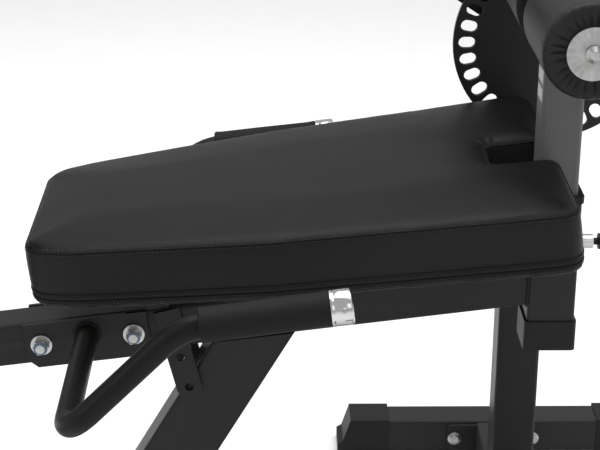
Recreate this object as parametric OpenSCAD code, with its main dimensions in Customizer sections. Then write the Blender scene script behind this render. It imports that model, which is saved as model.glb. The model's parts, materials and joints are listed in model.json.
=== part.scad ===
// Plate-loaded leg extension and leg curl bench.
// X runs along the bench towards the knees, Y across it towards the loading side, Z up from the floor.

/* [Main beam] */
// Angle of the seat beam above the floor
beam_tilt = 7.2; // [6.8:0.1:7.6]
// Height of the beam centre line above the floor, below the origin of X
beam_z = 454; // [450:1:458]
// Outside size of the square frame tubes
tube_w = 50; // [48:1:52]
// Wall thickness of the frame tubes
tube_t = 2.5; // [2:0.5:3]
// Length of the beam behind the origin of X
beam_back = 1010; // [1000:5:1040]

/* [Seat] */
// Length of the seat pad
seat_len = 578; // [560:2:580]
// Width of the seat pad at its rear end
seat_rear_w = 276; // [270:2:300]
// Width of the seat pad at the knees
seat_front_w = 402; // [380:2:402]
// Thickness of the padding
seat_pad_t = 59; // [50:1:60]
// Thickness of the plywood boards
board_t = 12; // [9:1:15]
// Width of the notch that clears the roller post
notch_w = 62; // [60:1:70]
// Length of the notch
notch_len = 72; // [66:1:80]

/* [Back rest] */
// Height of the back pad
back_len = 450; // [400:10:480]
// Width of the back pad
back_w = 300; // [260:10:320]
// Lean of the back rest behind the vertical
back_lean = 12; // [10:1:15]
// Pitch of the adjustment holes in the beam
back_pitch = 40; // [40:1:44]

/* [Roller post] */
// Outside size of the roller post
post_w = 45; // [44:1:45]
// Height of the thigh roller centre above the floor
thigh_roller_z = 765; // [760:1:790]
// Pitch of the holes in the roller post
post_pitch = 30; // [28:1:30]
// Diameter of the foam rollers
roller_d = 100; // [90:2:104]
// Diameter of the roller shafts
shaft_d = 25; // [25:1:25]

/* [Lever and weight arm] */
// Height of the knee pivot above the floor
pivot_z = 673.2; // [670:0.2:675]
// Distance of the knee pivot in front of the origin of X
pivot_x = 77.6; // [76:0.2:79]
// Outside diameter of the selector disc
disc_d = 240; // [236:1:244]
// Number of slots around the selector disc
slot_count = 32; // [32:1:32]
// Radius of the circle of slots
slot_ring_r = 103.5; // [102:0.5:105]
// Distance from the knee pivot to the shin rollers
lever_r = 350; // [340:5:370]
// Distance from the knee pivot to the plate horn
arm_r = 330; // [320:5:340]
// Direction of the weight arm above the forward direction
arm_angle = 146.25; // [146.25:0.25:146.25]
// Diameter of the plate horn
horn_d = 50; // [49:0.5:50]
// Loading length of the plate horn
horn_len = 190; // [150:10:200]

/* [Base] */
// Distance of the far foot's outer face from the middle
far_foot_y = 461; // [450:1:470]
// Distance of the near foot's outer face from the middle
near_foot_y = 461; // [400:1:470]
// Length of the foot tubes
foot_len = 360; // [350:5:370]
// Height of the top of the base tubes
base_top = 52; // [52:1:54]

/* [Handles] */
// Distance of the grips from the middle
grip_y = 268; // [260:1:275]
// Diameter of the handle tube
handle_d = 25.4; // [25:0.1:26]
// Height of the grips above the beam centre line
grip_h = 109; // [105:1:112]

/* [Hidden] */
$fn = 48;

base_tube = tube_w;
base_z = base_top - base_tube / 2;
base_x = 60;
post_x = 53.75;
receiver_w = 54;
receiver_low = 386;
receiver_top = 556;
receiver_x0 = post_x - receiver_w / 2;
receiver_x1 = post_x + receiver_w / 2;
pin_z = 500.6;
pin_d = 8;
pin_travel = 6;
run_gap = 0.05;
upright_y = 275;
upright_x = 64.5;
upright_w = 56;
disc_y = 207;
disc_t = 6;
lever_t = 10;
lever_y = disc_y + disc_t;
arm_y = 229;
arm_t = 12;
hub_in = 18;
core_d = 32;
seat_front = 70;
seat_mid = [-250, 177];
seat_corner = [[0, -30], [17, -10], [53, 3]];
seat_round = 22;
seat_h = 84;
riser_t = 20;
riser_h = seat_h - tube_w / 2 - riser_t;
foot_overlap = 29;
leg_lean = 30.4;
leg_w = 75;
rear_leg_x = -960;
carriage_s = -700;
carriage_len = 120;
carriage_in = tube_w + 1;
carriage_wall = 4;
carriage_out = carriage_in + 2 * carriage_wall;
back_foot_h = carriage_out / 2;
handle_points = [[-470, 30, 6], [-470, grip_y, 6], [-337, grip_y, grip_h], [-191, grip_y - 5, grip_h]];
handle_bends = [38, 75];
plate_t = 5;
grip_len = 128;
grip_cap_len = 22;
bolt_s = [-523, -418];
origin_shift = [265.8, 0, 0];
big = 2000;

module in_row_frame() {
    translate(origin_shift) children();
}

module on_beam() {
    translate([0, 0, beam_z]) rotate([0, -beam_tilt, 0]) children();
}

// Rounded rectangle made only of squares and circles.
module rounded_rect(w, h, r) {
    square([w - 2 * r, h], center = true);
    square([w, h - 2 * r], center = true);
    for (sx = [-1, 1], sy = [-1, 1])
        translate([sx * (w / 2 - r), sy * (h / 2 - r)]) circle(r = r);
}

// Square tube along +Z from the origin; w is its size along X and h along Y.
module tube_z(len, w = tube_w, h = tube_w, t = tube_t) {
    linear_extrude(len) difference() {
        rounded_rect(w, h, 5);
        rounded_rect(w - 2 * t, h - 2 * t, 3);
    }
}

module tube_x(len, w = tube_w, h = tube_w, t = tube_t) {
    rotate([0, 90, 0]) rotate([0, 0, 90]) tube_z(len, w, h, t);
}

module tube_y(len, w = tube_w, h = tube_w, t = tube_t) {
    rotate([-90, 0, 0]) tube_z(len, w, h, t);
}

// Round rod along +Y from y0 to y1.
module rod_y(x, z, y0, y1, d) {
    translate([x, y0, z]) rotate([-90, 0, 0]) cylinder(h = y1 - y0, d = d);
}

module ring_y(x, z, y0, y1, d_out, d_in) {
    difference() {
        rod_y(x, z, y0, y1, d_out);
        rod_y(x, z, y0 - 1, y1 + 1, d_in);
    }
}

// Flat bar in the XZ plane, from the pivot outwards, with a round end.
module radial_bar(angle, r, w, y, t) {
    translate([pivot_x, y + t, pivot_z]) rotate([90, 0, 0]) rotate([0, 0, angle]) linear_extrude(t) {
        translate([hub_in, -w / 2]) square([r - hub_in, w]);
        translate([r, 0]) circle(d = w);
    }
}

function unit(v) = v / norm(v);

// Round tube along one straight line between two points.
module straight_rod(a, b, d) {
    v = b - a;
    translate(a) rotate([0, acos(v.z / norm(v)), atan2(v.y, v.x)]) cylinder(h = norm(v), d = d);
}

// Points along a bend of centre-line radius bend_r at the corner b of the path a, b, c.
function bend_points(a, b, c, bend_r) =
    let (u = unit(b - a), w = unit(c - b), turn = acos(u * w), inward = unit(w - u * (u * w)))
    let (centre = b - u * bend_r * tan(turn / 2) + inward * bend_r)
    [for (i = [0:bend_steps]) centre + bend_r * (u * sin(turn * i / bend_steps)
        - inward * cos(turn * i / bend_steps))];

bend_steps = 8;
tube_sides = 20;

// Round tube swept along a path; across is any direction that no part of the path runs along.
module swept_tube(path, across, d) {
    last = len(path) - 1;
    rings = [for (i = [0:last])
        let (t = unit(path[min(i + 1, last)] - path[max(i - 1, 0)]))
        let (n = unit(cross(t, across)), m = cross(t, n))
        for (k = [0:tube_sides - 1])
            path[i] + d / 2 * (n * cos(360 * k / tube_sides) + m * sin(360 * k / tube_sides))];
    walls = [for (i = [0:last - 1], k = [0:tube_sides - 1])
        let (k2 = (k + 1) % tube_sides)
        [i * tube_sides + k, i * tube_sides + k2, (i + 1) * tube_sides + k2, (i + 1) * tube_sides + k]];
    start = [for (k = [tube_sides - 1:-1:0]) k];
    finish = [for (k = [0:tube_sides - 1]) last * tube_sides + k];
    polyhedron(points = rings, faces = concat(walls, [start, finish]), convexity = 6);
}

// Bent handle tube with two bends; the points give the far side and the near side is its mirror image.
module handle_tube() {
    p = handle_points;
    slope = unit(p[2] - p[1]);
    path = concat([p[0]], bend_points(p[0], p[1], p[2], handle_bends[0]),
        bend_points(p[1], p[2], p[3], handle_bends[1]), [p[3]]);
    swept_tube(path, [-slope.z, 0, slope.x], handle_d);
}

module handle_tubes() {
    color("#1c1c1e") on_beam() for (side = [0, 1]) mirror([0, side, 0]) handle_tube();
}

module handle_plate() {
    translate([0, 30, 0]) rotate([90, 0, 0]) linear_extrude(plate_t) difference() {
        polygon([[-541, -18], [-531, -28], [-401, -28], [-401, 25], [-541, 25]]);
        for (s = bolt_s) translate([s, 0]) circle(d = 10.5);
    }
}

module handle_plates() {
    color("#1c1c1e") on_beam() for (side = [0, 1]) mirror([0, side, 0]) handle_plate();
}

grip_dir = unit(handle_points[3] - handle_points[2]);
grip_start = handle_points[3] - grip_dir * grip_len;

module grips() {
    color("#151515") on_beam() for (side = [0, 1]) mirror([0, side, 0]) difference() {
        straight_rod(grip_start, handle_points[3], 36);
        straight_rod(grip_start - grip_dir, handle_points[3] + grip_dir, handle_d);
    }
}

module grip_caps() {
    color("silver") on_beam() for (side = [0, 1]) mirror([0, side, 0])
        straight_rod(handle_points[3], handle_points[3] + grip_dir * grip_cap_len, 37);
}

// Bolts right through the two handle plates and the beam, nuts on the near side.
module handle_bolts() {
    color("silver") on_beam() for (s = bolt_s) {
        translate([s, -44, 0]) rotate([-90, 0, 0]) cylinder(h = 83, d = 10);
        translate([s, -32.5, 0]) rotate([-90, 0, 0]) cylinder(h = 2.5, d = 24);
        translate([s, -41, 0]) rotate([-90, 0, 0]) cylinder(h = 8.5, d = 18.5, $fn = 6);
        translate([s, 30, 0]) rotate([-90, 0, 0]) cylinder(h = 2.5, d = 24);
        translate([s, 32.5, 0]) rotate([-90, 0, 0]) cylinder(h = 6.5, d = 18.5, $fn = 6);
    }
}

module main_beam() {
    color("#1c1c1e") difference() {
        on_beam() translate([-beam_back, 0, 0]) tube_x(beam_back + 60);
        translate([receiver_x0, -big / 2, 0]) cube([big, big, big]);
        on_beam() for (s = bolt_s) translate([s, -40, 0]) rotate([-90, 0, 0]) cylinder(h = 80, d = 10.5);
        on_beam() for (i = [0:4])
            translate([carriage_s - i * back_pitch, -30, 0]) rotate([-90, 0, 0]) cylinder(h = 30, d = 9);
    }
}

module beam_end_plug() {
    color("#101010") on_beam() translate([-beam_back - 4, 0, 0]) rotate([0, 90, 0])
        linear_extrude(4) rounded_rect(tube_w, tube_w, 5);
}

module receiver_tube() {
    color("#1c1c1e") difference() {
        translate([post_x, 0, receiver_low]) tube_z(receiver_top - receiver_low, receiver_w, receiver_w, 3);
        translate([receiver_x1 - 10, 0, pin_z]) rotate([0, 90, 0]) cylinder(h = 20, d = 10);
    }
}

module receiver_cap() {
    color("#101010") difference() {
        union() {
            translate([post_x, 0, 379]) linear_extrude(35) rounded_rect(receiver_w + 5, receiver_w + 5, 6);
            translate([post_x, 0, 376]) linear_extrude(4) rounded_rect(receiver_w - 8, receiver_w - 8, 4);
        }
        translate([post_x, 0, receiver_low]) linear_extrude(40) rounded_rect(receiver_w, receiver_w, 5);
    }
}

// Plastic guide at the mouth of the receiver, with 0.4 mm of clearance round the post.
module receiver_collar() {
    color("#101010") difference() {
        union() {
            translate([post_x, 0, receiver_top]) linear_extrude(8)
                rounded_rect(receiver_w + 4, receiver_w + 4, 6);
            translate([post_x, 0, receiver_top - 60]) linear_extrude(61)
                rounded_rect(receiver_w - 6, receiver_w - 6, 3);
        }
        translate([post_x, 0, receiver_top - 70]) linear_extrude(90)
            rounded_rect(post_w + 0.8, post_w + 0.8, 3);
        translate([post_x, 0, pin_z]) rotate([0, 90, 0]) cylinder(h = 60, d = 10);
    }
}

// Barrel of a sprung plunger along +X: plain bore at its mouth, wider pocket for the spring behind it.
module barrel_x(len) {
    difference() {
        cylinder_x(0, len, 16);
        cylinder_x(-1, len + 1, pin_d + 2 * run_gap);
        cylinder_x(5, len - 3, 13);
    }
}

module cylinder_x(x0, x1, d) {
    translate([x0, 0, 0]) rotate([0, 90, 0]) cylinder(h = x1 - x0, d = d);
}

module knob_x(x0) {
    cylinder_x(x0, x0 + 4, 18);
    cylinder_x(x0 + 4, x0 + 22, 25);
    cylinder_x(x0 + 22, x0 + 25, 20);
}

module plunger_x(tip, knob) {
    cylinder_x(tip, knob + 2, pin_d);
    knob_x(knob);
}

module post_pin_barrel() {
    color("silver") translate([receiver_x1, 0, pin_z]) barrel_x(19);
}

module post_spring() {
    color("silver") translate([receiver_x1, 0, pin_z]) difference() {
        cylinder_x(5, 16, 12);
        cylinder_x(4, 17, 9.5);
    }
}

module post_pin() {
    color("#101010") translate([receiver_x1, 0, pin_z]) plunger_x(-3, 25.5);
}

module roller_post() {
    color("#2c2c2e") difference() {
        translate([post_x, 0, 398]) tube_z(394, post_w, post_w, 2.5);
        for (i = [0:3])
            translate([post_x, 0, pin_z - i * post_pitch]) rotate([0, 90, 0]) cylinder(h = 40, d = 9);
        rod_y(post_x, thigh_roller_z, -40, 40, shaft_d);
    }
}

module post_cap() {
    color("#101010") translate([post_x, 0, 792]) linear_extrude(4) rounded_rect(post_w, post_w, 5);
}

// Plain height scale stuck on the rear face of the post.
module post_scale() {
    color("gainsboro") for (i = [0:2])
        translate([post_x - post_w / 2 - 0.4, -15, 668 + i * 20]) cube([0.4, 30, 14]);
}

module thigh_shaft() {
    color("silver") rod_y(post_x, thigh_roller_z, -166, 166, shaft_d);
}

module end_bolt(side, x, z, y) {
    translate([x, 0, z]) mirror([0, side < 0 ? 1 : 0, 0]) {
        rod_y(0, 0, y, y + 2.5, 54);
        rod_y(0, 0, y + 2.5, y + 4.5, 18);
        translate([0, y + 4.5, 0]) rotate([-90, 0, 0]) cylinder(h = 4, d1 = 18, d2 = 9);
    }
}

module thigh_end_bolts() {
    color("silver") {
        end_bolt(1, post_x, thigh_roller_z, 166);
        end_bolt(-1, post_x, thigh_roller_z, 166);
    }
}

// Plastic sleeve that turns on the shaft.
module roller_core(x, z, y0, y1) {
    ring_y(x, z, y0, y1, core_d, shaft_d + 2 * run_gap);
}

module roller_foam(x, z, y0, y1) {
    ring_y(x, z, y0, y1, roller_d, core_d);
}

module near_thigh_core() {
    color("#202020") roller_core(post_x, thigh_roller_z, -165.5, -23);
}

module near_thigh_roller() {
    color("#181818") roller_foam(post_x, thigh_roller_z, -165, -24);
}

module far_thigh_core() {
    color("#202020") roller_core(post_x, thigh_roller_z, 23, 165.5);
}

module far_thigh_roller() {
    color("#181818") roller_foam(post_x, thigh_roller_z, 24, 165);
}

// Diagonal leg from under the beam down to the base rail.
module diagonal_leg() {
    color("#1c1c1e") difference() {
        translate([-324.4, 0, 318.8]) rotate([0, leg_lean, 0]) translate([0, 0, -400]) tube_z(600, leg_w, tube_w);
        on_beam() translate([-big / 2, -big / 2, -tube_w / 2]) cube([big, big, big]);
        translate([-big / 2, -big / 2, base_top - big]) cube([big, big, big]);
    }
}

module rear_leg() {
    color("#1c1c1e") difference() {
        translate([rear_leg_x, 0, base_top]) tube_z(500);
        on_beam() translate([-big, -big / 2, -tube_w / 2]) cube([big, big, big]);
    }
}

module base_rail() {
    color("#1c1c1e") translate([rear_leg_x - tube_w / 2, 0, base_z])
        tube_x(base_x - rear_leg_x);
}

module rear_base_tube() {
    color("#1c1c1e") for (side = [0, 1]) mirror([0, side, 0])
        translate([rear_leg_x, tube_w / 2, base_z]) tube_y(225);
}

module rear_feet() {
    color("#101010") for (side = [0, 1]) mirror([0, side, 0]) difference() {
        translate([rear_leg_x, 225, base_z]) rotate([-90, 0, 0])
            linear_extrude(35) rounded_rect(tube_w + 4, tube_w + 4, 6);
        translate([rear_leg_x, 200, base_z]) rotate([-90, 0, 0])
            linear_extrude(50) rounded_rect(tube_w, tube_w, 5);
    }
}

module front_base_tube() {
    color("#1c1c1e") translate([base_x, -(near_foot_y - tube_w - 5), base_z])
        tube_y(near_foot_y + far_foot_y - 2 * tube_w - 10);
}

module foot_tube(y) {
    color("#1c1c1e") translate([base_x - foot_len / 2, y, base_z]) tube_x(foot_len);
}

module far_foot() {
    foot_tube(far_foot_y - tube_w / 2);
}

module near_foot() {
    foot_tube(-(near_foot_y - tube_w / 2));
}

// Angled rubber end that wraps round a foot tube and stands on the floor.
module foot_end() {
    difference() {
        translate([0, tube_w / 2 + 1.5, 0]) rotate([90, 0, 0]) linear_extrude(tube_w + 3)
            polygon([[0, 0], [74, 0], [74, 16], [67, 20], [56, base_top + 2], [0, base_top + 2]]);
        translate([-1, -tube_w / 2, base_top - tube_w]) cube([foot_overlap + 1, tube_w, tube_w]);
    }
}

module foot_ends() {
    color("#101010") for (y = [far_foot_y - tube_w / 2, -(near_foot_y - tube_w / 2)]) {
        translate([base_x + foot_len / 2 - foot_overlap, y, 0]) foot_end();
        translate([base_x - foot_len / 2 + foot_overlap, y, 0]) mirror([1, 0, 0]) foot_end();
    }
}

module foot_flange(y) {
    translate([base_x, y, base_z]) rotate([90, 0, 0]) linear_extrude(5) difference() {
        rounded_rect(134, 40, 6);
        for (s = [-1, 1]) translate([s * 56, 0]) circle(d = 8.5);
    }
}

module foot_flanges() {
    color("#1c1c1e") {
        foot_flange(far_foot_y - tube_w);
        foot_flange(-(near_foot_y - tube_w) + 5);
    }
}

module foot_bolts() {
    color("silver") for (s = [-1, 1]) {
        translate([base_x + s * 56, far_foot_y - tube_w - 5, base_z]) mirror([0, 1, 0]) dome_bolt();
        translate([base_x + s * 56, -(near_foot_y - tube_w) + 5, base_z]) dome_bolt();
    }
}

// Dome head that stands out along +Y, with its shank behind it.
module dome_bolt() {
    rotate([-90, 0, 0]) cylinder(h = 2, d = 20);
    translate([0, 2, 0]) rotate([-90, 0, 0]) cylinder(h = 3, d1 = 20, d2 = 11);
    translate([0, -5, 0]) rotate([-90, 0, 0]) cylinder(h = 5.5, d = 8);
}

module side_upright() {
    color("#1c1c1e") difference() {
        translate([upright_x, upright_y, base_top]) tube_z(pivot_z - base_top, upright_w);
        rod_y(pivot_x, pivot_z, upright_y - 40, upright_y + 40, 60);
    }
}

module pivot_housing() {
    color("#1c1c1e") ring_y(pivot_x, pivot_z, upright_y - 25, upright_y + 25, 60, shaft_d);
}

module pivot_axle() {
    color("silver") {
        rod_y(pivot_x, pivot_z, 205.5, upright_y + 25, shaft_d);
        rod_y(pivot_x, pivot_z, 203, 205.5, 34);
        rod_y(pivot_x, pivot_z, upright_y + 25, upright_y + 28, 44);
        rod_y(pivot_x, pivot_z, upright_y + 28, upright_y + 36, 19);
    }
}

cross_x = -25;
cross_z = 458;

module cross_tube() {
    color("#1c1c1e") translate([cross_x, tube_w / 2, cross_z - 5]) tube_y(upright_y - tube_w);
}

module side_link() {
    color("#1c1c1e") translate([cross_x - tube_w / 2, upright_y, cross_z - 5])
        tube_x(upright_x - upright_w / 2 - cross_x + tube_w / 2);
}

// Pair of flat bars on the sides of the beam, with two holes each below it.
module bracket_bars() {
    color("#1c1c1e") on_beam() for (y = [-tube_w / 2, tube_w / 2 + 5])
        translate([-366.3, y, -74.4]) rotate([90, 0, 0]) rotate([0, 0, 6.8]) linear_extrude(5) difference() {
            union() {
                circle(d = 29);
                translate([-14.5, 0]) square([29, 98]);
            }
            circle(d = 10);
            translate([0, 39]) circle(d = 10);
        }
}

module seat_outline(inset) {
    rear = [seat_front - seat_len, seat_rear_w / 2];
    edge = concat([for (c = seat_corner) rear + c], [seat_mid, [seat_front, seat_front_w / 2]]);
    offset(r = seat_round) offset(delta = -seat_round - inset)
        polygon(concat(edge, [for (i = [len(edge) - 1:-1:0]) [edge[i][0], -edge[i][1]]]));
}

module seat_shape(inset) {
    difference() {
        seat_outline(inset);
        translate([seat_front - notch_len - inset, -notch_w / 2 - inset])
            square([notch_len + 60, notch_w + 2 * inset]);
    }
}

module seat_pad() {
    color("#141414") on_beam() translate([0, 0, seat_h + board_t])
        linear_extrude(seat_pad_t) seat_shape(0);
}

module seat_board() {
    color("burlywood") on_beam() translate([0, 0, seat_h]) difference() {
        linear_extrude(board_t) seat_shape(12);
        seat_bolt_holes(-1, 2 * board_t);
    }
}

riser_s = [-70, -400];
riser_span = [125, 90];

module seat_bolt_holes(h, len) {
    for (i = [0, 1], side = [-1, 1])
        translate([riser_s[i], side * riser_span[i] * 0.8, h]) cylinder(h = len, d = 8.5);
}

module seat_risers() {
    color("#1c1c1e") on_beam() for (i = [0, 1]) {
        translate([riser_s[i] - 25, -25, tube_w / 2]) cube([50, 50, riser_h]);
        difference() {
            translate([riser_s[i], -riser_span[i], tube_w / 2 + riser_h + riser_t / 2])
                tube_y(2 * riser_span[i], 40, riser_t, 2);
            for (side = [-1, 1])
                translate([riser_s[i], side * riser_span[i] * 0.8, tube_w / 2]) cylinder(h = 80, d = 8.5);
        }
    }
}

module seat_bolts() {
    color("silver") on_beam() for (i = [0, 1], side = [-1, 1])
        translate([riser_s[i], side * riser_span[i] * 0.8, tube_w / 2 + riser_h]) {
            cylinder(h = riser_t + 10, d = 8);
            translate([0, 0, -6]) cylinder(h = 6, d = 15, $fn = 6);
        }
}

// Disc with a ring of radial slots that the selector pin drops into.
module selector_disc() {
    color("#202022") difference() {
        rod_y(pivot_x, pivot_z, disc_y, disc_y + disc_t, disc_d);
        rod_y(pivot_x, pivot_z, disc_y - 1, disc_y + disc_t + 1, 30);
        for (i = [0:slot_count - 1])
            translate([pivot_x, disc_y + disc_t + 1, pivot_z]) rotate([90, 0, 0])
                rotate([0, 0, arm_angle + i * 360 / slot_count]) linear_extrude(disc_t + 2) slot();
    }
}

module slot() {
    for (s = [-1, 1]) translate([slot_ring_r + s * 3, 0]) circle(d = 14);
    translate([slot_ring_r - 3, -7]) square([6, 14]);
}

module lever_bar() {
    color("#1c1c1e") difference() {
        union() {
            radial_bar(0, lever_r, 50, lever_y, lever_t);
            rod_y(pivot_x, pivot_z, lever_y, lever_y + lever_t + 4, 60);
        }
        rod_y(pivot_x, pivot_z, lever_y - 1, lever_y + 20, 30);
    }
}

module lever_bush() {
    color("#b08d57") ring_y(pivot_x, pivot_z, disc_y, lever_y + lever_t + 4, 30, shaft_d + 2 * run_gap);
}

shin_x = pivot_x + lever_r;

module shin_shaft() {
    color("silver") rod_y(shin_x, pivot_z, -166, lever_y, shaft_d);
}

module shin_end_bolt() {
    color("silver") end_bolt(-1, shin_x, pivot_z, 166);
}

module shin_roller(y0, y1) {
    color("#181818") ring_y(shin_x, pivot_z, y0, y1, roller_d, shaft_d + 2 * run_gap);
}

module near_shin_roller() {
    shin_roller(-165, -5);
}

module far_shin_roller() {
    shin_roller(5, 165);
}

module weight_arm() {
    color("#1c1c1e") difference() {
        union() {
            radial_bar(arm_angle, arm_r, 50, arm_y, arm_t);
            rod_y(pivot_x, pivot_z, arm_y, arm_y + arm_t + 6, 60);
        }
        rod_y(pivot_x, pivot_z, arm_y - 2, arm_y + 30, 30);
        rod_y(selector_x, selector_z, arm_y - 2, arm_y + 30, 12.2);
    }
}

module arm_bush() {
    color("#b08d57") ring_y(pivot_x, pivot_z, arm_y, arm_y + arm_t + 6, 30, shaft_d + 2 * run_gap);
}

horn_x = pivot_x + arm_r * cos(arm_angle);
horn_z = pivot_z + arm_r * sin(arm_angle);

module plate_horn() {
    color("silver") {
        rod_y(horn_x, horn_z, arm_y + arm_t, arm_y + arm_t + 6, 90);
        rod_y(horn_x, horn_z, arm_y + arm_t + 6, arm_y + arm_t + 6 + horn_len, horn_d);
    }
}

selector_x = pivot_x + slot_ring_r * cos(arm_angle);
selector_z = pivot_z + slot_ring_r * sin(arm_angle);

module selector_barrel() {
    color("silver") ring_y(selector_x, selector_z, arm_y + arm_t, arm_y + arm_t + 18, 20, 12.1);
}

// Selector pin, drawn back; it drops 9 mm towards -Y into a slot.
module selector_pin() {
    color("#101010") {
        rod_y(selector_x, selector_z, lever_y + 1.5, arm_y + arm_t + 30, 12);
        rod_y(selector_x, selector_z, arm_y + arm_t + 28, arm_y + arm_t + 50, 28);
        rod_y(selector_x, selector_z, arm_y + arm_t + 50, arm_y + arm_t + 53, 23);
    }
}

// Sleeve that slides along the beam and carries the back rest.
module back_carriage() {
    color("#1c1c1e") on_beam() {
        difference() {
            translate([carriage_s - carriage_len / 2, 0, 0]) rotate([0, 90, 0]) linear_extrude(carriage_len)
                difference() {
                    rounded_rect(carriage_out, carriage_out, 6);
                    rounded_rect(carriage_in, carriage_in, 5);
                }
            translate([carriage_s, -40, 0]) rotate([-90, 0, 0]) cylinder(h = 30, d = 9);
        }
        difference() {
            translate([carriage_s, -carriage_out / 2, 0]) rotate([0, 0, -90]) barrel_x(19);
            translate([carriage_s, -40, 0]) rotate([-90, 0, 0]) cylinder(h = 12, d = pin_d + 2 * run_gap);
        }
    }
}

module back_pin() {
    color("#101010") on_beam() translate([carriage_s, -carriage_out / 2, 0]) rotate([0, 0, -90])
        plunger_x(-3.2, 25.5);
}

// Frame of the back rest, local Z up along the pad, local X towards the user.
module on_back() {
    on_beam() translate([carriage_s, 0, back_foot_h]) rotate([0, beam_tilt - back_lean, 0]) children();
}

module back_frame() {
    color("#1c1c1e") {
        difference() {
            on_back() translate([0, 0, -30]) tube_z(560);
            on_beam() translate([carriage_s - 100, -50, -100]) cube([200, 100, 100 + back_foot_h]);
        }
        on_back() for (h = [160, 440]) translate([25, -100, h - 3]) cube([6, 200, 40]);
    }
}

module back_board() {
    color("burlywood") on_back() translate([31, -back_w / 2 + 5, 105]) cube([board_t, back_w - 10, back_len - 10]);
}

module back_pad() {
    color("#141414") on_back() translate([31 + board_t, 0, 100 + back_len / 2]) rotate([0, 90, 0])
        linear_extrude(55) rounded_rect(back_len, back_w, 26);
}

in_row_frame() main_beam();
in_row_frame() receiver_tube();
in_row_frame() receiver_cap();
in_row_frame() receiver_collar();
in_row_frame() post_pin_barrel();
in_row_frame() post_spring();
in_row_frame() diagonal_leg();
in_row_frame() base_rail();
in_row_frame() front_base_tube();
in_row_frame() far_foot();
in_row_frame() near_foot();
in_row_frame() foot_ends();
in_row_frame() foot_flanges();
in_row_frame() foot_bolts();
in_row_frame() rear_leg();
in_row_frame() rear_base_tube();
in_row_frame() rear_feet();
in_row_frame() beam_end_plug();
in_row_frame() side_upright();
in_row_frame() cross_tube();
in_row_frame() side_link();
in_row_frame() pivot_housing();
in_row_frame() pivot_axle();
in_row_frame() bracket_bars();
in_row_frame() handle_plates();
in_row_frame() handle_tubes();
in_row_frame() grips();
in_row_frame() grip_caps();
in_row_frame() handle_bolts();
in_row_frame() seat_risers();
in_row_frame() seat_board();
in_row_frame() seat_pad();
in_row_frame() seat_bolts();
in_row_frame() roller_post();
in_row_frame() post_cap();
in_row_frame() post_scale();
in_row_frame() thigh_shaft();
in_row_frame() thigh_end_bolts();
in_row_frame() post_pin();
in_row_frame() near_thigh_core();
in_row_frame() near_thigh_roller();
in_row_frame() far_thigh_core();
in_row_frame() far_thigh_roller();
in_row_frame() selector_disc();
in_row_frame() lever_bar();
in_row_frame() lever_bush();
in_row_frame() shin_shaft();
in_row_frame() shin_end_bolt();
in_row_frame() near_shin_roller();
in_row_frame() far_shin_roller();
in_row_frame() weight_arm();
in_row_frame() arm_bush();
in_row_frame() plate_horn();
in_row_frame() selector_barrel();
in_row_frame() selector_pin();
in_row_frame() back_carriage();
in_row_frame() back_frame();
in_row_frame() back_board();
in_row_frame() back_pad();
in_row_frame() back_pin();
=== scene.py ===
import json
import math
import random

import bmesh
import bpy
from mathutils import Matrix, Vector, noise
from mathutils.bvhtree import BVHTree


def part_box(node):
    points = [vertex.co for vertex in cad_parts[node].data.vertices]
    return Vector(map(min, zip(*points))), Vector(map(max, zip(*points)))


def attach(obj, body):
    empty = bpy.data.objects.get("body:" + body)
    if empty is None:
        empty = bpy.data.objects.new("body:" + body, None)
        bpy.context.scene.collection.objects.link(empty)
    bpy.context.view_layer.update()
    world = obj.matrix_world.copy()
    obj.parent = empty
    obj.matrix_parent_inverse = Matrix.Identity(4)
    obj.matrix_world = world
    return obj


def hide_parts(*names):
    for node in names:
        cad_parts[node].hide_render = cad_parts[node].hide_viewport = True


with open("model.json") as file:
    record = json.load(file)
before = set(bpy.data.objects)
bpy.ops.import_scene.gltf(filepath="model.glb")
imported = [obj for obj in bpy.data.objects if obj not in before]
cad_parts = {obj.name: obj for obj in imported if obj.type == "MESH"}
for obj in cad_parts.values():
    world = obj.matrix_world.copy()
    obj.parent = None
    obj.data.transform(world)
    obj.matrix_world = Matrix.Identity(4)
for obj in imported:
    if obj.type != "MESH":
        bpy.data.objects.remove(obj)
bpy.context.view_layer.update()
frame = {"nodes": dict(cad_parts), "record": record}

MM = 0.001
TILT = math.radians(7.2)      # the seat beam's slope
BEAM_Z = 454
SHIFT = 265.8                 # from the design origin to the row's origin, along X


def row(x, y, z):
    """A design point in millimetres as a row point in metres."""
    return Vector(((x + SHIFT) * MM, y * MM, z * MM))


def on_beam(s, y, h):
    """A point along, across and above the beam's centre line."""
    return row(s * math.cos(TILT) - h * math.sin(TILT), y,
               BEAM_Z + s * math.sin(TILT) + h * math.cos(TILT))


# ---------------------------------------------------------------- materials

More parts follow.
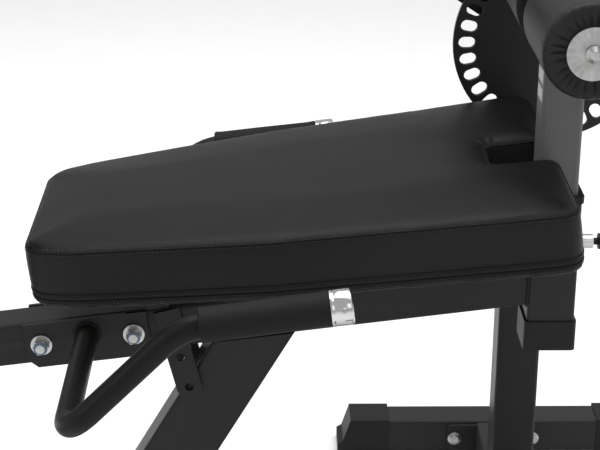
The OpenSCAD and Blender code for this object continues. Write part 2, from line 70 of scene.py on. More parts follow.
def material(name, colour, rough, metal=0.0, grain=(900.0, 0.25, 0.0002), mottle=0.12,
             edge_highlight=0.0, coat=0.0, sheen=0.0, specular=0.16, cloud=14.0, streak=(1, 1, 1)):
    """Noise-driven colour, roughness and bump. grain is scale, strength and depth."""
    m = bpy.data.materials.new(name)
    m.use_nodes = True
    t = m.node_tree
    n, link = t.nodes, t.links.new
    b = n["Principled BSDF"]
    b.inputs["Metallic"].default_value = metal
    b.inputs["Coat Weight"].default_value = coat
    b.inputs["Coat Roughness"].default_value = 0.25
    b.inputs["Sheen Weight"].default_value = sheen
    b.inputs["Sheen Roughness"].default_value = 0.4
    b.inputs["Specular IOR Level"].default_value = specular
    where = n.new("ShaderNodeTexCoord")
    stretch = n.new("ShaderNodeMapping")
    stretch.inputs["Scale"].default_value = streak
    link(where.outputs["Object"], stretch.inputs["Vector"])
    big = n.new("ShaderNodeTexNoise")
    big.inputs["Scale"].default_value = cloud
    big.inputs["Detail"].default_value = 5
    link(stretch.outputs[0], big.inputs["Vector"])
    fine = n.new("ShaderNodeTexNoise")
    fine.inputs["Scale"].default_value = grain[0]
    fine.inputs["Detail"].default_value = 3
    link(stretch.outputs[0], fine.inputs["Vector"])
    ramp = n.new("ShaderNodeValToRGB")
    ramp.color_ramp.elements[0].position = 0.3
    ramp.color_ramp.elements[1].position = 0.72
    ramp.color_ramp.elements[0].color = [c * (1 - mottle) for c in colour] + [1]
    ramp.color_ramp.elements[1].color = [min(1, c * (1 + mottle)) for c in colour] + [1]
    link(big.outputs["Fac"], ramp.inputs["Fac"])
    colour_out = ramp.outputs["Color"]
    # Painted highlight: convex edges, found by pointiness, get a lighter copy of the colour, standing in for
    # light catching the rounded corners.
    if edge_highlight:
        geometry = n.new("ShaderNodeNewGeometry")
        edge = n.new("ShaderNodeMapRange")
        edge.inputs["From Min"].default_value = 0.53
        edge.inputs["From Max"].default_value = 0.62
        edge.inputs["To Max"].default_value = edge_highlight
        link(geometry.outputs["Pointiness"], edge.inputs["Value"])
        edge_lit = n.new("ShaderNodeMix")
        edge_lit.data_type = "RGBA"
        edge_lit.inputs["B"].default_value = [min(1, c * 3 + 0.05) for c in colour] + [1]
        link(edge.outputs[0], edge_lit.inputs["Factor"])
        link(colour_out, edge_lit.inputs["A"])
        colour_out = edge_lit.outputs["Result"]
    link(colour_out, b.inputs["Base Color"])
    spread = n.new("ShaderNodeMapRange")
    spread.inputs["To Min"].default_value = max(0.03, rough - 0.07)
    spread.inputs["To Max"].default_value = min(1, rough + 0.07)
    link(big.outputs["Fac"], spread.inputs["Value"])
    link(spread.outputs[0], b.inputs["Roughness"])
    bump = n.new("ShaderNodeBump")
    bump.inputs["Strength"].default_value = grain[1]
    bump.inputs["Distance"].default_value = grain[2]
    link(fine.outputs["Fac"], bump.inputs["Height"])
    link(bump.outputs[0], b.inputs["Normal"])
    return m


def math_node(t, operation, a, b=None):
    node = t.nodes.new("ShaderNodeMath")
    node.operation = operation
    for i, v in enumerate([a, b]):
        if isinstance(v, (int, float)):
            node.inputs[i].default_value = v
        elif v is not None:
            t.links.new(v, node.inputs[i])
    return node.outputs[0]


def woven(m, pitch, depth, tilt=TILT):
    """Adds an embossed diamond grid to a material: pitch in metres, measured along the piece and up it."""
    t = m.node_tree
    link = t.links.new
    where = t.nodes.new("ShaderNodeTexCoord")
    turn = t.nodes.new("ShaderNodeMapping")
    turn.inputs["Rotation"].default_value = (0, tilt, 0)
    link(where.outputs["Object"], turn.inputs["Vector"])
    axes = t.nodes.new("ShaderNodeSeparateXYZ")
    link(turn.outputs[0], axes.inputs[0])
    along = math_node(t, "ADD", axes.outputs["X"], axes.outputs["Y"])
    k = 2 * math.pi / pitch
    waves = []
    for operation in ("ADD", "SUBTRACT"):
        diagonal = math_node(t, operation, along, axes.outputs["Z"])
        waves.append(math_node(t, "SINE", math_node(t, "MULTIPLY", diagonal, k)))
    height = math_node(t, "ABSOLUTE", math_node(t, "MULTIPLY", waves[0], waves[1]))
    bump = t.nodes.new("ShaderNodeBump")
    bump.inputs["Strength"].default_value = 0.55
    bump.inputs["Distance"].default_value = depth
    link(height, bump.inputs["Height"])
    principled = t.nodes["Principled BSDF"]
    old = principled.inputs["Normal"].links[0].from_socket
    link(old, bump.inputs["Normal"])
    link(bump.outputs[0], principled.inputs["Normal"])
    shade = t.nodes.new("ShaderNodeMix")
    shade.data_type = "RGBA"
    shade.blend_type = "MULTIPLY"
    shade.inputs["B"].default_value = (1.7, 1.7, 1.7, 1)
    base = principled.inputs["Base Color"].links[0].from_socket
    link(height, shade.inputs["Factor"])
    link(base, shade.inputs["A"])
    link(shade.outputs["Result"], principled.inputs["Base Color"])


def plywood(name):
    m = material(name, (0.42, 0.30, 0.18), 0.6, grain=(60.0, 0.4, 0.0004), streak=(1, 12, 1), mottle=0.25)
    t = m.node_tree
    wave = t.nodes.new("ShaderNodeTexWave")
    wave.bands_direction = "Z"
    wave.inputs["Scale"].default_value = 110
    wave.inputs["Distortion"].default_value = 1.5
    where = t.nodes.new("ShaderNodeTexCoord")
    turn = t.nodes.new("ShaderNodeMapping")
    turn.inputs["Rotation"].default_value = (0, TILT, 0)
    t.links.new(where.outputs["Object"], turn.inputs["Vector"])
    t.links.new(turn.outputs[0], wave.inputs["Vector"])
    plies = t.nodes.new("ShaderNodeMix")
    plies.data_type = "RGBA"
    plies.blend_type = "MULTIPLY"
    plies.inputs["B"].default_value = (0.6, 0.5, 0.4, 1)
    principled = t.nodes["Principled BSDF"]
    base = principled.inputs["Base Color"].links[0].from_socket
    t.links.new(wave.outputs["Fac"], plies.inputs["Factor"])
    t.links.new(base, plies.inputs["A"])
    t.links.new(plies.outputs["Result"], principled.inputs["Base Color"])
    return m


LOOKS = {
    "frame_paint": material("frame_paint", (0.009, 0.009, 0.0094), 0.38, grain=(1100.0, 0.35, 0.0002),
                            edge_highlight=0.25, specular=0.12),
    # The post's light grey is painted reflection: it stands in for the bright studio mirrored in the glossy
    # post.
    "post_paint": material("post_paint", (0.09, 0.09, 0.092), 0.42, grain=(1100.0, 0.3, 0.0002), edge_highlight=0.2),
    "black_rubber": material("black_rubber", (0.014, 0.014, 0.0145), 0.5, grain=(500.0, 0.4, 0.0003)),
    "black_plastic": material("black_plastic", (0.010, 0.010, 0.0105), 0.36, grain=(1400.0, 0.25, 0.0001)),
    "zinc": material("zinc", (0.40, 0.40, 0.395), 0.36, metal=1.0, grain=(300.0, 0.3, 0.0002), mottle=0.2,
                     cloud=90.0, edge_highlight=0.3),
    "chrome": material("chrome", (0.62, 0.62, 0.62), 0.14, metal=1.0, grain=(500.0, 0.1, 0.0001),
                       streak=(1, 8, 1), mottle=0.06),
    "pad_vinyl": material("pad_vinyl", (0.0075, 0.0075, 0.0077), 0.42, grain=(1300.0, 0.5, 0.0002),
                          mottle=0.2, cloud=9.0, specular=0.12),
    "roller_vinyl": material("roller_vinyl", (0.016, 0.016, 0.0165), 0.46, grain=(1300.0, 0.5, 0.00025),
                             mottle=0.2),
    "plywood": plywood("plywood"),
    "bronze": material("bronze", (0.5, 0.34, 0.16), 0.38, metal=1.0, grain=(900.0, 0.4, 0.0002)),
    "label": material("label", (0.62, 0.62, 0.61), 0.4, grain=(800.0, 0.2, 0.0001), mottle=0.04),
}
side_vinyl = material("pad_side_vinyl", (0.008, 0.008, 0.0083), 0.42, grain=(1300.0, 0.3, 0.0001), cloud=9.0)
woven(side_vinyl, 0.0052, 0.0006)
thread = material("pad_thread", (0.012, 0.012, 0.012), 0.6, grain=(2500.0, 0.6, 0.0002), sheen=0.3)
nylon = material("nylon_ring", (0.12, 0.18, 0.27), 0.35, grain=(1500.0, 0.2, 0.0001))
grip_foam = material("grip_foam", (0.010, 0.010, 0.0105), 0.66, grain=(1500.0, 0.6, 0.0003),
                     streak=(0.3, 1, 1))

for part in frame["record"]["subparts"]:
    node = frame["nodes"][part["node"]]
    node.data.materials.clear()
    node.data.materials.append(LOOKS[part["material_slot"]])


# ---------------------------------------------------------------- mesh helpers

def piece(name, vertices, faces, body, look, smooth=True):
    mesh = bpy.data.meshes.new(name)
    mesh.from_pydata([tuple(v) for v in vertices], [], faces)
    mesh.update()
    bm = bmesh.new()
    bm.from_mesh(mesh)
    bmesh.ops.recalc_face_normals(bm, faces=bm.faces)
    bm.to_mesh(mesh)
    bm.free()
    for p in mesh.polygons:
        p.use_smooth = smooth
    mesh.materials.append(look)
    o = bpy.data.objects.new(name, mesh)
    bpy.context.scene.collection.objects.link(o)
    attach(o, body)
    return o


def unit_across(t, up=Vector((0, 0, 1))):
    a = t.cross(up)
    if a.length < 1e-3:
        a = t.cross(Vector((1, 0, 0)))
    return a.normalized()


def quads(rings, sides, closed=False):
    """Faces between successive rings of vertices; closed joins the last ring to the first."""
    faces = []
    for i in range(rings if closed else rings - 1):
        j = (i + 1) % rings
        for k in range(sides):
            k2 = (k + 1) % sides
            faces.append((i * sides + k, i * sides + k2, j * sides + k2, j * sides + k))
    return faces


def tube_mesh(points, radius, sides=10, closed=False, ripple=None):
    """Vertices and faces of a tube along points; radius is a number or one per point."""
    n = len(points)
    vertices = []
    across = None
    for i, p in enumerate(points):
        before = points[(i - 1) % n] if closed or i else p
        after = points[(i + 1) % n] if closed or i < n - 1 else p
        t = (after - before).normalized()
        across = unit_across(t) if across is None else (across - t * across.dot(t)).normalized()
        other = t.cross(across)
        r = radius[i] if hasattr(radius, "__len__") else radius
        if ripple:
            r *= ripple(i)
        for k in range(sides):
            a = 2 * math.pi * k / sides
            vertices.append(p + r * (math.cos(a) * across + math.sin(a) * other))
    faces = quads(n, sides, closed)
    if not closed:
        faces.append(tuple(range(sides)))
        faces.append(tuple(range((n - 1) * sides, n * sides)))
    return vertices, faces


def joined(parts):
    vertices, faces = [], []
    for v, f in parts:
        shift = len(vertices)
        vertices += v
        faces += [tuple(i + shift for i in face) for face in f]
    return vertices, faces


def lathe(profile, start, direction, sides=64):
    """Surface turned round direction through start; profile is (distance along, radius) in millimetres."""
    d = direction.normalized()
    a = unit_across(d)
    b = d.cross(a)
    vertices = []
    for x, r in profile:
        for k in range(sides):
            t = 2 * math.pi * k / sides
            vertices.append(start + d * x * MM + (a * math.cos(t) + b * math.sin(t)) * r * MM)
    faces = quads(len(profile), sides)
    faces.append(tuple(range(sides)))
    faces.append(tuple(range((len(profile) - 1) * sides, len(profile) * sides)))
    return vertices, faces


def resample(points, step, closed=True):
    """Points at an even step along a polyline."""
    loop = points + [points[0]] if closed else points
    lengths = [0.0]
    for a, b in zip(loop, loop[1:]):
        lengths.append(lengths[-1] + (b - a).length)
    count = max(4, round(lengths[-1] / step))
    out, j = [], 0
    for i in range(count + (0 if closed else 1)):
        at = lengths[-1] * i / count
        while j < len(lengths) - 2 and lengths[j + 1] < at:
            j += 1
        span = lengths[j + 1] - lengths[j]
        out.append(loop[j].lerp(loop[j + 1], (at - lengths[j]) / span if span else 0))
    return out


def rounded(corners, steps=8):
    """A closed outline with each corner (x, y, radius) rounded."""
    out = []
    n = len(corners)
    for i, (x, y, r) in enumerate(corners):
        p = Vector((x, y))
        a = (Vector(corners[i - 1][:2]) - p).normalized()
        b = (Vector(corners[(i + 1) % n][:2]) - p).normalized()
        half = math.acos(max(-1, min(1, a.dot(b)))) / 2
        reach = r / math.tan(half)
        middle = p + (a + b).normalized() * r / math.sin(half)
        start, end = p + a * reach - middle, p + b * reach - middle
        turn = start.angle_signed(end)
        for k in range(steps + 1):
            f = turn * k / steps
            c, s = math.cos(-f), math.sin(-f)
            out.append(middle + Vector((start.x * c - start.y * s, start.x * s + start.y * c)))
    return out


def inset_loop(outline, inset):
    """The outline moved inwards; outline runs counter-clockwise."""
    n = len(outline)
    out = []
    for i, p in enumerate(outline):
        t = (outline[(i + 1) % n] - outline[i - 1]).normalized()
        out.append(p + Vector((-t.y, t.x)) * inset)
    return out


# ---------------------------------------------------------------- cushions

def boxed_form(name, outline, base, top):
    """The closed form before it swells: rings (inset, height) of the outline, remeshed evenly."""
    rings = [(14, base + 1.5), (7, base + 0.2), (2.5, base + 0.5), (1.2, base + 4),
             (2.4, base + 9), (1.6, base + 13), (0.9, base + 22), (0.8, (base + top) / 2 + 3),
             (1.4, top - 12), (2.8, top - 6.0), (4.6, top - 3.4), (8, top - 2.2), (14, top - 1.2)]
    sides = len(outline)
    vertices = [Vector((p.x, p.y, h)) * MM for inset, h in rings for p in inset_loop(outline, inset)]
    faces = quads(len(rings), sides)
    faces.append(tuple(reversed(range(sides))))
    faces.append(tuple(range((len(rings) - 1) * sides, len(rings) * sides)))
    mesh = bpy.data.meshes.new(name)
    mesh.from_pydata([tuple(v) for v in vertices], [], faces)
    bm = bmesh.new()
    bm.from_mesh(mesh)
    bmesh.ops.triangulate(bm, faces=[f for f in bm.faces if len(f.verts) > 4])
    bmesh.ops.recalc_face_normals(bm, faces=bm.faces)
    bm.to_mesh(mesh)
    bm.free()
    o = bpy.data.objects.new(name, mesh)
    bpy.context.scene.collection.objects.link(o)

    remesh = o.modifiers.new("remesh", "REMESH")
    remesh.mode = "VOXEL"
    remesh.voxel_size = 0.005
    smooth = o.modifiers.new("smooth", "SMOOTH")
    smooth.factor = 0.5
    smooth.iterations = 3
    bake(o)
    return o


def crown_and_hold(o, outline, base, top, crown):
    """Crowns the top of the foam block, and holds the skin at its seams and where it meets the board."""
    n = len(outline)
    edge = [Vector((p.x, p.y)) for p in inset_loop(outline, 3)]
    fence = BVHTree.FromPolygons([(p.x * MM, p.y * MM, h) for h in (-1, 1) for p in edge],
                                 [(k, (k + 1) % n, n + (k + 1) % n, n + k) for k in range(n)])
    held = o.vertex_groups.new(name="held")
    for v in o.data.vertices:
        h = v.co.z / MM
        off = fence.find_nearest(Vector((v.co.x, v.co.y, 0)))[3] / MM
        if h < base + 11 or (abs(h - (top - 4.5)) < 3 and off < 6):
            held.add([v.index], 1.0, "REPLACE")
        elif h > top - 12:
            v.co.z += crown * MM * (1 - math.exp(-off / 30))


def blow_up(o, cap):
    """Swells the skin by cloth pressure; no point moves more than cap millimetres."""
    start = [v.co.copy() for v in o.data.vertices]
    cloth = o.modifiers.new("cloth", "CLOTH")
    s = cloth.settings
    s.use_pressure = True
    s.uniform_pressure_force = 4
    s.vertex_group_mass = "held"
    s.effector_weights.gravity = 0
    s.quality = 6
    s.tension_stiffness = 25
    s.compression_stiffness = 25
    s.bending_stiffness = 1.5
    scene = bpy.context.scene
    cloth.point_cache.frame_start, cloth.point_cache.frame_end = 1, 20
    for f in range(1, 21):
        scene.frame_set(f)
    bake(o)
    limit = cap * MM
    for v, p in zip(o.data.vertices, start):
        d = v.co - p
        if d.length > limit:
            v.co = p + d * (limit / d.length)
    scene.frame_set(1)


def dip_and_pucker(o, top, puckers):
    """Slow dips of the foam under the skin, and small puckers round the given corners."""
    for v in o.data.vertices:
        if v.co.z / MM > top - 3:
            v.co.z += 0.6 * MM * noise.noise(v.co * 14)
            for u, w in puckers:
                away = Vector((v.co.x / MM - u, v.co.y / MM - w))
                pull = math.exp(-((away.length - 9) / 9) ** 2)
                v.co.z += 0.7 * MM * pull * math.sin(9 * math.atan2(away.y, away.x))


def sewn(o, outline, welts):
    """Meshes of the welts and of the stitches; a welt is (height, inset, radius, stitched)."""
    skin = BVHTree.FromPolygons([v.co.copy() for v in o.data.vertices],
                                [tuple(p.vertices) for p in o.data.polygons])
    seams, stitches = [], []
    for h, inset, r, stitched in welts:
        loop = [Vector((p.x, p.y, h)) * MM for p in inset_loop(outline, inset)]
        on_skin = []
        for p in resample(loop, 4 * MM):
            at, normal, _, _ = skin.find_nearest(p)
            on_skin.append(at + normal * 0.25 * MM)
        if r:
            seams.append(tube_mesh(on_skin, r * MM, 8, closed=True))
        if stitched:
            dashes = resample(on_skin, 4.2 * MM)
            for i, p in enumerate(dashes):
                t = (dashes[(i + 1) % len(dashes)] - p) * 0.34
                lift = skin.find_nearest(p)[1] * 0.35 * MM
                dash = [p - t + lift * 0.2, p - t * 0.5 + lift, p + t * 0.5 + lift, p + t + lift * 0.2]
                stitches.append(tube_mesh(dash, [0.2 * MM, 0.5 * MM, 0.5 * MM, 0.2 * MM], 6))
    return seams, stitches


def cushion(name, outline, base, top, place, body, node, slot_name, crown, cap, welts, puckers=()):
    """A boxed cushion: closed form, then blown up by cloth pressure between its seams.
    outline is 2-D in millimetres, base and top are heights, and place maps (u, v, h) to the row."""
    outline = [Vector((p.x, p.y)) for p in resample([Vector((p.x, p.y, 0)) for p in outline], 5)]
    o = boxed_form(name, outline, base, top)
    crown_and_hold(o, outline, base, top, crown)
    blow_up(o, cap)
    soft = o.modifiers.new("soft", "SMOOTH")
    soft.factor = 0.5
    soft.iterations = 4
    fine = o.modifiers.new("fine", "SUBSURF")
    fine.levels = fine.render_levels = 1
    bake(o)
    o.vertex_groups.clear()
    dip_and_pucker(o, top, puckers)

    # The band round the sides takes the embossed vinyl.
    o.data.materials.append(LOOKS[slot_name])
    o.data.materials.append(side_vinyl)
    for p in o.data.polygons:
        p.use_smooth = True
        h = p.center.z / MM
        if base + 3 < h < top - 3.6 and abs(p.normal.z) < 0.86:
            p.material_index = 1
    seams, stitches = sewn(o, outline, welts)

    def to_row(vectors):
        return [place(v.x / MM, v.y / MM, v.z / MM) for v in vectors]

    moved = to_row([v.co for v in o.data.vertices])
    for v, p in zip(o.data.vertices, moved):
        v.co = p
    o.data.update()
    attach(o, body)
    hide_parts(node)
    for label, parts, look in (("seams", seams, LOOKS[slot_name]), ("stitching", stitches, thread)):
        v, f = joined(parts)
        piece(f"{name}_{label}", to_row(v), f, body, look)


def bake(o):
    """Applies every modifier of o to its mesh."""
    dg = bpy.context.evaluated_depsgraph_get()
    dg.update()
    new = bpy.data.meshes.new_from_object(o.evaluated_get(dg), preserve_all_data_layers=True, depsgraph=dg)
    o.modifiers.clear()
    o.data = new


SEAT_FRONT, SEAT_REAR = 70, -508
NOTCH_END, NOTCH_HALF = -2, 31
seat_edge = [(SEAT_REAR, 108, 24), (SEAT_REAR + 17, 128, 30), (SEAT_REAR + 53, 141, 60), (-250, 177, 200)]
seat_outline = rounded(
    [(u, -v, r) for u, v, r in seat_edge]
    + [(SEAT_FRONT, -201, 24), (SEAT_FRONT, -NOTCH_HALF, 14), (NOTCH_END, -NOTCH_HALF, 12),
       (NOTCH_END, NOTCH_HALF, 12), (SEAT_FRONT, NOTCH_HALF, 14), (SEAT_FRONT, 201, 24)]
    + [(u, v, r) for u, v, r in reversed(seat_edge)])
cushion("seat_cushion", seat_outline, 82.8, 155, on_beam, "frame", "seat_pad", "pad_vinyl", 4.0, 4,
        [(147.4, 3.4, 1.0, False), (145.2, 2.2, 0, True), (101, 1.2, 0.9, False),
         (97.6, 1.8, 0, True), (93.5, 1.8, 1.1, False), (90.0, 1.6, 0, True)],
        puckers=[(NOTCH_END + 5, -NOTCH_HALF + 4), (NOTCH_END + 5, NOTCH_HALF - 4)])

# The back pad stands on its own sloped frame, and its place comes from its packed box.
BACK_LEAN = math.radians(12)
back_u = Vector((-math.sin(BACK_LEAN), 0, math.cos(BACK_LEAN)))
back_n = Vector((math.cos(BACK_LEAN), 0, math.sin(BACK_LEAN)))


def back_place(u, v, h):
    return back_origin + (back_u * u + Vector((0, 1, 0)) * v + back_n * h) * MM


back_points = [v.co.copy() for v in frame["nodes"]["back_pad"].data.vertices]
lowest_u = min(p.dot(back_u) for p in back_points)
highest_u = max(p.dot(back_u) for p in back_points)
lowest_n = min(p.dot(back_n) for p in back_points)
highest_n = max(p.dot(back_n) for p in back_points)
back_origin = back_u * lowest_u + back_n * lowest_n
BACK_LONG = (highest_u - lowest_u) / MM
BACK_THICK = (highest_n - lowest_n) / MM
BACK_HALF, BACK_CORNER = 150, 30
back_outline = rounded([(u, v, BACK_CORNER) for u, v in (
    (0, -BACK_HALF), (BACK_LONG, -BACK_HALF), (BACK_LONG, BACK_HALF), (0, BACK_HALF))])
cushion("back_cushion", back_outline, 1, BACK_THICK, back_place, "back_rest", "back_pad", "pad_vinyl", 3.0, 4,
        [(BACK_THICK - 4.6, 3.2, 1.0, False), (BACK_THICK - 6.8, 2.2, 0, True),
         (12, 1.4, 1.0, False), (9, 1.8, 0, True)])


# ---------------------------------------------------------------- rollers

PLEATS = 26
SLEEVE_R = 49.9
SLEEVE_SIDES = 384


def roller(name, node, body, outer_side, seed):
    """A foam roller in a vinyl sleeve, gathered into pleats over its ends."""
    low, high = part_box(node)
    middle = (low + high) / 2
    radius = (high.z - low.z) / 2 / MM
    half = (high.y - low.y) / 2 / MM
    rng = random.Random(seed)
    warp = [(rng.randint(2, 7), rng.uniform(0, 6.28), rng.uniform(0.02, 0.07)) for _ in range(4)]
    inner = 15.6 if "thigh" in node else 12.6
    rim = [(0.6, inner), (1.0, 20), (1.2, 25), (1.2, 29), (1.2, 32), (1.0, 35), (0.9, 38), (0.9, 41),
           (1.2, 43.5), (2.0, 46), (3.4, 48.0), (5.5, 49.3), (9, 49.8), (15, SLEEVE_R)]
    closed_rim = [(0.4, inner), (0.5, 25), (0.5, 38), (0.6, 44), (1.0, 47), (2.0, 49.0), (3.6, 49.8),
                  (8, SLEEVE_R)]
    along = [half * f for f in (0.7, 0.45, 0.2, 0.0, -0.2, -0.45, -0.7)]
    first, last = (rim, closed_rim) if outer_side == "near" else (closed_rim, rim)
    profile = [(-half + d, r) for d, r in first]
    profile += [(-y, SLEEVE_R) for y in along]
    profile += [(half - d, r) for d, r in reversed(last)]
    vertices = []
    for y, r in profile:
        gathered = (y < 0) == (outer_side == "near")
        inward = -1 if y > 0 else 1
        face_on = math.exp(-((r - 34) / 9.5) ** 2) if gathered else 0.0
        shoulder = math.exp(-((half - abs(y) - 4) / 7) ** 2) if gathered and r > 45 else 0.0
        for k in range(SLEEVE_SIDES):
            a = 2 * math.pi * k / SLEEVE_SIDES
            bent = a + sum(w * math.sin(c * a + p) for c, p, w in warp)
            fold = abs(math.sin(PLEATS / 2 * bent)) ** 0.55
            valley = (1 - fold) * (0.75 + 0.25 * math.sin(3 * a + seed))
            soft = 0.35 * noise.noise(Vector((y * 0.03, math.cos(a) * 2.2, math.sin(a) * 2.2 + seed)))
            rr = min(radius, r + soft - 1.1 * shoulder * valley) if r > 45 else r
            at_y = y + inward * 4.2 * face_on * valley
            vertices.append(middle + Vector((math.cos(a) * rr, at_y, math.sin(a) * rr)) * MM)
    faces = quads(len(profile), SLEEVE_SIDES, closed=True)
    o = piece(name, vertices, faces, body, LOOKS["roller_vinyl"])
    fine = o.modifiers.new("fine", "SUBSURF")
    fine.levels = fine.render_levels = 1
    bake(o)
    for p in o.data.polygons:
        p.use_smooth = True
    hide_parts(node)


for index, side in enumerate(("near", "far")):
    roller(f"{side}_thigh_sleeve", f"{side}_thigh_roller", f"{side}_thigh_roller", side, 11 + index)
    roller(f"{side}_shin_sleeve", f"{side}_shin_roller", f"{side}_shin_roller", side, 21 + index)


# ---------------------------------------------------------------- handles

def arc_path(points, radii, steps=16):
    """The path through points with each inner corner bent to its radius."""
    out = [points[0]]
    for a, b, c, radius in zip(points, points[1:], points[2:], radii):
        u, w = (b - a).normalized(), (c - b).normalized()
        turn = u.angle(w)
        inward = (w - u * u.dot(w)).normalized()
        middle = b - u * radius * math.tan(turn / 2) + inward * radius
        for i in range(steps + 1):
            f = turn * i / steps
            out.append(middle + radius * (u * math.sin(f) - inward * math.cos(f)))
    out.append(points[-1])
    return out


HANDLE_R, GRIP_LEN = 12.7, 128
HANDLE_BENDS = (38, 75)
GRIP_Y, GRIP_H = 268, 109
HANDLE_POINTS = [(-470, 30, 6), (-470, GRIP_Y, 6), (-337, GRIP_Y, GRIP_H), (-191, GRIP_Y - 5, GRIP_H)]
WELD_RING_R = 13.6
handle_parts, grip_parts, cap_parts, screw_parts, bead_parts = [], [], [], [], []
for side in (-1, 1):
    bend = [Vector((s, side * y, h)) for s, y, h in HANDLE_POINTS]
    path = [on_beam(*p) for p in arc_path(bend, HANDLE_BENDS)]
    handle_parts.append(tube_mesh(path, HANDLE_R * MM, 48))
    far_end = on_beam(*bend[3])
    direction = (far_end - on_beam(*bend[2])).normalized()
    grip_start = far_end - direction * GRIP_LEN * MM
    grip_profile = [(0, 12.8), (0.2, 16.6), (1.2, 17.7), (3.0, 18.0), (5.2, 17.6), (7.5, 17.3), (12, 17.3),
                    (60, 17.5), (116, 17.3), (122, 17.6), (125, 18.0), (127, 17.7), (127.9, 16.8),
                    (GRIP_LEN, 12.8)]
    grip_parts.append(lathe(grip_profile, grip_start, direction))
    cap_profile = [(0, 12.8), (0, 18.2), (0.8, 18.5), (3, 18.5), (3.4, 18.2), (4.0, 18.2), (4.4, 18.5),
                   (19, 18.5), (20.6, 18.1), (21.6, 17.0), (22, 15.2), (22, 2)]
    cap_parts.append(lathe(cap_profile, far_end, direction))
    out = Vector((0, side, 0.2)).normalized()
    hole = far_end + direction * 13 * MM + out * 18.0 * MM
    screw_profile = [(0, 2.8), (0.7, 2.8), (1.2, 2.2), (1.2, 1.2), (0.4, 1.0), (0.4, 0.2)]
    screw_parts.append(lathe(screw_profile, hole, out, 24))
    root_s, root_y, root_h = HANDLE_POINTS[0]
    ring = [on_beam(root_s + math.cos(a) * WELD_RING_R, side * (root_y + 0.4),
                    root_h + math.sin(a) * WELD_RING_R) for a in (2 * math.pi * k / 90 for k in range(90))]
    bead_parts.append(tube_mesh(ring, 2.2 * MM, 10, closed=True,
                                ripple=lambda i: 1 + 0.09 * math.sin(i * 1.4)))

for name, parts, look, slot_name, node in (
        ("handle_tubing", handle_parts, LOOKS["frame_paint"], "frame_paint", "handle_tubes"),
        ("handle_grips", grip_parts, grip_foam, "black_rubber", "grips"),
        ("handle_end_caps", cap_parts, LOOKS["chrome"], "chrome", "grip_caps"),
        ("handle_cap_screws", screw_parts, LOOKS["zinc"], "zinc", None),
        ("handle_weld_beads", bead_parts, LOOKS["frame_paint"], "frame_paint", None)):
    v, f = joined(parts)
    o = piece(name, v, f, "frame", look)
    o.data.set_sharp_from_angle(angle=math.radians(50))
    if node:
        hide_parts(node)

# Nylon insert rings and thread ends of the lock nuts.
PLATE_BOLTS = (-523, -418)
insert_profile = [(-1, 5.2), (-1, 7.8), (0.8, 7.8), (1.6, 7.2), (1.8, 6.4), (1.8, 5.2)]
rings, threads = [], []
for s in PLATE_BOLTS:
    for y, d in ((-41, -1), (39, 1)):
        rings.append(lathe(insert_profile, on_beam(s, y, 0), Vector((0, d, 0)), 40))
    spiral = []
    for k in range(96):
        a = 2 * math.pi * k / 24
        spiral.append(on_beam(s + math.cos(a) * 5.0, -41.6 - 2.2 * k / 96, math.sin(a) * 5.0))
    threads.append(tube_mesh(spiral, 0.35 * MM, 6))
for name, parts, look in (("lock_nut_inserts", rings, nylon), ("lock_nut_threads", threads, LOOKS["zinc"])):
    v, f = joined(parts)
    piece(name, v, f, "frame", look)


# ---------------------------------------------------------------- weld beads

def bead(points, radius=1.8, closed=True):
    path = resample([Vector(p) for p in points], 1.6 * MM, closed)
    return tube_mesh(path, radius * MM, 8, closed, ripple=lambda i: 1 + 0.16 * math.sin(i * 1.9))


beads = []
# Beam into the receiver, on the receiver's rear face.
RECEIVER_REAR = 26.75
for h in (-25, 25):
    x = RECEIVER_REAR - 0.5
    z = BEAM_Z + x * math.tan(TILT) + h / math.cos(TILT)
    beads.append(bead([row(x, y, z + (0.6 if h > 0 else -0.6)) for y in (-22, -10, 0, 10, 22)], closed=False))
for y in (-25.4, 25.4):
    z = BEAM_Z + RECEIVER_REAR * math.tan(TILT)
    beads.append(bead([row(RECEIVER_REAR - 0.5, y, z + h) for h in (-23, -8, 8, 23)], closed=False))
# Upright on its foot tube.
UPRIGHT_X = (36.5, 92.5)
UPRIGHT_Y = (250, 300)
for x in UPRIGHT_X:
    beads.append(bead([row(x, y, 52.5) for y in (252, 264, 276, 298)], closed=False))
for y in UPRIGHT_Y:
    beads.append(bead([row(x, y, 52.5) for x in (40, 52, 66, 90)], closed=False))
# Knee pivot housing in the top of the upright, both ends.
PIVOT_X, PIVOT_Z, HOUSING_R = 77.6, 673.2, 30.5
for y in (UPRIGHT_Y[0] + 0.2, UPRIGHT_Y[1] - 0.2):
    beads.append(bead([row(PIVOT_X + math.cos(a) * HOUSING_R, y, PIVOT_Z + math.sin(a) * HOUSING_R)
                       for a in (2 * math.pi * k / 72 for k in range(72))], 1.6))
v, f = joined(beads)
piece("frame_weld_beads", v, f, "frame", LOOKS["frame_paint"])


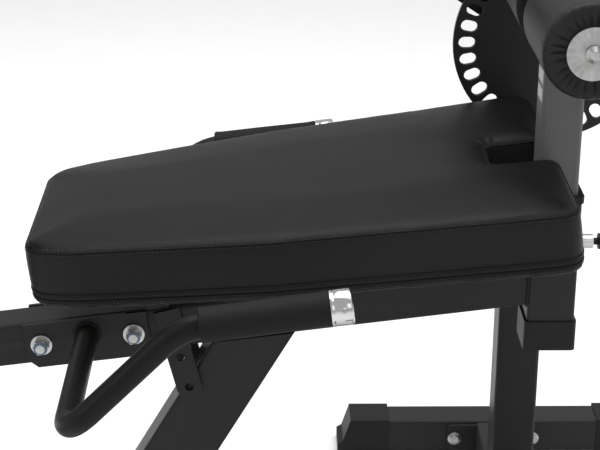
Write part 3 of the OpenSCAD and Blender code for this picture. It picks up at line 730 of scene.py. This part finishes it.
# ---------------------------------------------------------------- studio

def floor_plane():
    mesh = bpy.data.meshes.new("floor")
    bm = bmesh.new()
    bmesh.ops.create_grid(bm, x_segments=1, y_segments=1, size=20)
    bm.to_mesh(mesh)
    bm.free()
    o = bpy.data.objects.new("floor", mesh)
    bpy.context.scene.collection.objects.link(o)
    paper = material("floor_paper", (0.93, 0.93, 0.93), 0.9, grain=(300.0, 0.05, 0.0001), mottle=0.01)
    mesh.materials.append(paper)


floor_plane()


def area_light(name, at, target, size, power):
    data = bpy.data.lights.new(name, "AREA")
    data.shape = "RECTANGLE"
    data.size, data.size_y = size
    data.energy = power
    o = bpy.data.objects.new(name, data)
    bpy.context.scene.collection.objects.link(o)
    o.location = at
    o.rotation_euler = (Vector(target) - Vector(at)).to_track_quat("-Z", "Y").to_euler()


area_light("key_overhead", (0.2, 0.5, 3.6), (0.1, 0.2, 0.3), (4.0, 3.0), 130)
area_light("fill_left", (-3.2, -1.2, 1.9), (0.1, 0, 0.5), (1.6, 2.4), 14)
area_light("front_soft", (1.6, -3.6, 2.4), (0.1, 0, 0.4), (2.6, 1.8), 14)
world = bpy.data.worlds.new("studio")
world.use_nodes = True
world.node_tree.nodes["Background"].inputs["Color"].default_value = (1, 1, 1, 1)
world.node_tree.nodes["Background"].inputs["Strength"].default_value = 0.55
bpy.context.scene.world = world

camera_data = bpy.data.cameras.new("camera")
camera_data.sensor_width = 36
camera_data.lens = 100.86
camera_data.clip_end = 100
camera = bpy.data.objects.new("camera", camera_data)
bpy.context.scene.collection.objects.link(camera)
# Panned from +Y, tipped down and rolled a touch.
pan, down, roll_angle = (math.radians(a) for a in (-0.99575, 21.62736, 0.28063))
turn = (Matrix.Rotation(pan, 4, "Z") @ Matrix.Rotation(math.pi / 2 - down, 4, "X")
        @ Matrix.Rotation(roll_angle, 4, "Z"))
camera.matrix_world = Matrix.Translation(row(-258.72, -1741.93, 1211.34)) @ turn
bpy.context.scene.camera = camera
bpy.context.scene.view_settings.view_transform = "Standard"
